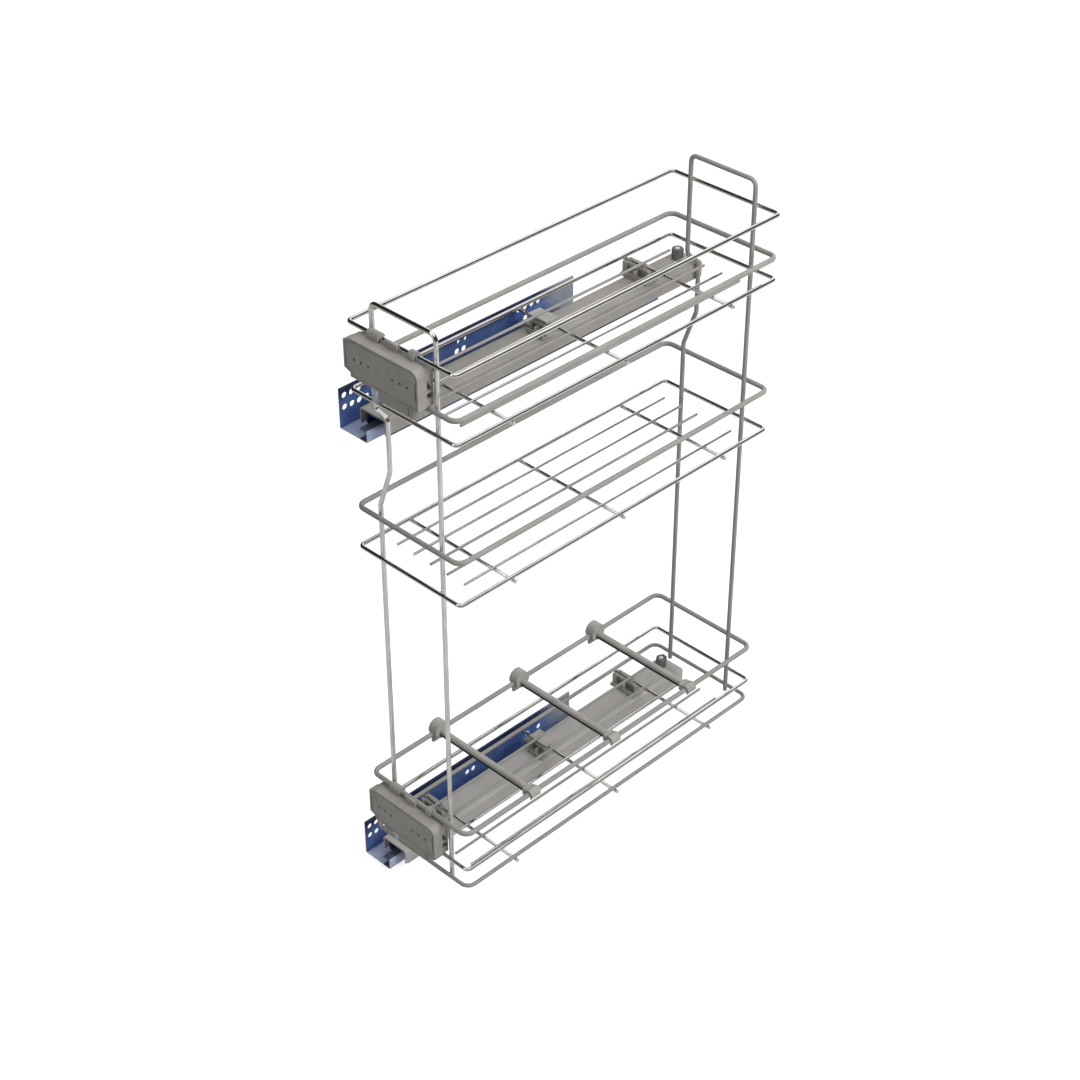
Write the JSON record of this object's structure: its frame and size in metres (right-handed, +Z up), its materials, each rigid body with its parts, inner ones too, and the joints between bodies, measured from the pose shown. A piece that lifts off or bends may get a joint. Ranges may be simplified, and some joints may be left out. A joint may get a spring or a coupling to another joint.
{
  "type": "pull-out bottle rack",
  "caption": "Narrow pull-out rack for a base cabinet: three wire baskets on a wire frame, carried by two side slides, with door brackets and sliding dividers.",
  "frame": {"origin": "midway between the two fixing holes of the lower cabinet rail, on the face that meets the cabinet side", "axes": "+X away from the cabinet side the rails are fixed to, +Y into the cabinet, +Z up; the rack pulls out along -Y"},
  "size_m": [0.161, 0.4712, 0.6985],
  "materials": {
    "grey_wire": "satin powder coat over round wire",
    "bright_wire": "polished chrome plating over round wire",
    "zinc_sheet": "blue passivated zinc on folded sheet",
    "grey_sheet": "satin grey paint on folded sheet",
    "bracket_plastic": "moulded warm grey plastic, fine matt texture",
    "clip_plastic": "moulded light grey plastic",
    "knob_plastic": "moulded dark grey plastic",
    "cage_plastic": "moulded natural white plastic",
    "roller_steel": "ground steel",
    "zinc_hook": "bright zinc on bent strip"
  },
  "bodies": {
    "cabinet_rails": {"lower_cabinet_rail": "zinc_sheet", "upper_cabinet_rail": "zinc_sheet"},
    "rack": {"top_middle_ring": "grey_wire", "middle_rim_ring": "grey_wire", "lowest_rim_ring": "grey_wire", "lowest_floor_ring": "grey_wire", "rear_frame_loop": "grey_wire", "top_floor_wires_grey": "grey_wire", "middle_floor_wires_grey": "grey_wire", "lowest_floor_wires_grey": "grey_wire", "top_rim_ring": "bright_wire", "top_floor_ring": "bright_wire", "middle_floor_ring": "bright_wire", "lowest_middle_ring": "bright_wire", "front_frame_loop": "bright_wire", "top_floor_wires_bright": "bright_wire", "top_cross_wires": "bright_wire", "middle_floor_wires_bright": "bright_wire", "middle_cross_wires": "bright_wire", "lowest_floor_wires_bright": "bright_wire", "lowest_cross_wires": "bright_wire", "lower_channel": "grey_sheet", "lower_clip_front": "clip_plastic", "lower_clip_middle": "clip_plastic", "lower_clip_rear": "clip_plastic", "lower_door_plate": "bracket_plastic", "lower_bracket_body": "bracket_plastic", "lower_bracket_hook": "zinc_hook", "upper_channel": "grey_sheet", "upper_clip_front": "clip_plastic", "upper_clip_middle": "clip_plastic", "upper_clip_rear": "clip_plastic", "upper_door_plate": "bracket_plastic", "upper_bracket_body": "bracket_plastic", "upper_bracket_hook": "zinc_hook"},
    "lower_slide": {"lower_slide_section": "zinc_sheet"},
    "lower_inner_roller_cage": {"lower_inner_cage": "cage_plastic", "lower_inner_rollers": "roller_steel"},
    "lower_outer_roller_cage": {"lower_outer_cage": "cage_plastic", "lower_outer_rollers": "roller_steel"},
    "lower_knob": {"lower_thumb_knob": "knob_plastic"},
    "upper_slide": {"upper_slide_section": "zinc_sheet"},
    "upper_inner_roller_cage": {"upper_inner_cage": "cage_plastic", "upper_inner_rollers": "roller_steel"},
    "upper_outer_roller_cage": {"upper_outer_cage": "cage_plastic", "upper_outer_rollers": "roller_steel"},
    "upper_knob": {"upper_thumb_knob": "knob_plastic"},
    "divider_front": {"divider_front_bar": "clip_plastic", "divider_front_head": "clip_plastic", "divider_front_barrel": "clip_plastic"},
    "divider_middle": {"divider_middle_bar": "clip_plastic", "divider_middle_head": "clip_plastic", "divider_middle_barrel": "clip_plastic"},
    "divider_rear": {"divider_rear_bar": "clip_plastic", "divider_rear_head": "clip_plastic", "divider_rear_barrel": "clip_plastic"}
  },
  "joints": [
    {"name": "rack_pull", "type": "slide", "parent": "cabinet_rails", "child": "rack", "axis": [0, -1, 0], "range_m": [0, 0.4]},
    {"name": "lower_slide_run", "type": "slide", "parent": "cabinet_rails", "child": "lower_slide", "axis": [0, -1, 0], "range_m": [0, 0.2]},
    {"name": "lower_inner_rollers_run", "type": "slide", "parent": "cabinet_rails", "child": "lower_inner_roller_cage", "axis": [0, -1, 0], "range_m": [0, 0.1]},
    {"name": "lower_outer_rollers_run", "type": "slide", "parent": "lower_slide", "child": "lower_outer_roller_cage", "axis": [0, -1, 0], "range_m": [0, 0.1]},
    {"name": "lower_knob_turn", "type": "hinge", "parent": "rack", "child": "lower_knob", "pos_m": [0.0292, 0.3112, 0.0039], "axis": [0, 0, 1], "range_deg": [-90, 90]},
    {"name": "upper_slide_run", "type": "slide", "parent": "cabinet_rails", "child": "upper_slide", "axis": [0, -1, 0], "range_m": [0, 0.2]},
    {"name": "upper_inner_rollers_run", "type": "slide", "parent": "cabinet_rails", "child": "upper_inner_roller_cage", "axis": [0, -1, 0], "range_m": [0, 0.1]},
    {"name": "upper_outer_rollers_run", "type": "slide", "parent": "upper_slide", "child": "upper_outer_roller_cage", "axis": [0, -1, 0], "range_m": [0, 0.1]},
    {"name": "upper_knob_turn", "type": "hinge", "parent": "rack", "child": "upper_knob", "pos_m": [0.0292, 0.3112, 0.5527], "axis": [0, 0, 1], "range_deg": [-90, 90]},
    {"name": "divider_front_shift", "type": "slide", "parent": "rack", "child": "divider_front", "axis": [0, 1, 0], "range_m": [-0.06, 0.045]},
    {"name": "divider_middle_shift", "type": "slide", "parent": "rack", "child": "divider_middle", "axis": [0, 1, 0], "range_m": [-0.045, 0.045]},
    {"name": "divider_rear_shift", "type": "slide", "parent": "rack", "child": "divider_rear", "axis": [0, 1, 0], "range_m": [-0.045, 0.07]}
  ],
  "couplings": [
    {"joint": "lower_slide_run", "follows": "rack_pull", "ratio": 0.5},
    {"joint": "lower_inner_rollers_run", "follows": "rack_pull", "ratio": 0.25},
    {"joint": "lower_outer_rollers_run", "follows": "rack_pull", "ratio": 0.25},
    {"joint": "upper_slide_run", "follows": "rack_pull", "ratio": 0.5},
    {"joint": "upper_inner_rollers_run", "follows": "rack_pull", "ratio": 0.25},
    {"joint": "upper_outer_rollers_run", "follows": "rack_pull", "ratio": 0.25}
  ]
}
